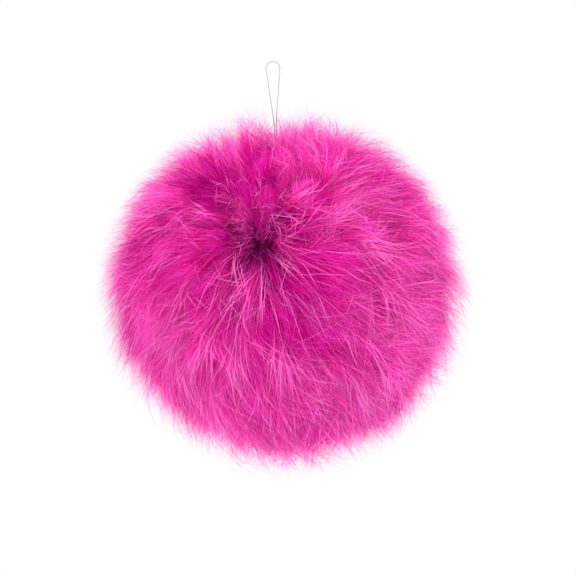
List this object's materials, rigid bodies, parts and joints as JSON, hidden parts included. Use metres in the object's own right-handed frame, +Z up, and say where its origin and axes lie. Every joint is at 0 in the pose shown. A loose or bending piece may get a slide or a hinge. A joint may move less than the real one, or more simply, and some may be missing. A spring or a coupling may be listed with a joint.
{
  "type": "pom pom",
  "caption": "Round ball of long faux fur, parted on its front and combed outwards, hanging from a thin loop of clear thread.",
  "frame": {"origin": "inside of the top of the thread's loop, where it bears on what holds it", "axes": "+Z up along the hanging thread, -Y towards the parted front, +X to the right seen from the front"},
  "size_m": [0.1584, 0.1575, 0.1765],
  "materials": {
    "dyed_fur": "long soft pile",
    "clear_nylon": "clear and smooth"
  },
  "bodies": {
    "root": {"fur_ball": "dyed_fur", "hanging_thread": "clear_nylon"}
  },
  "joints": []
}
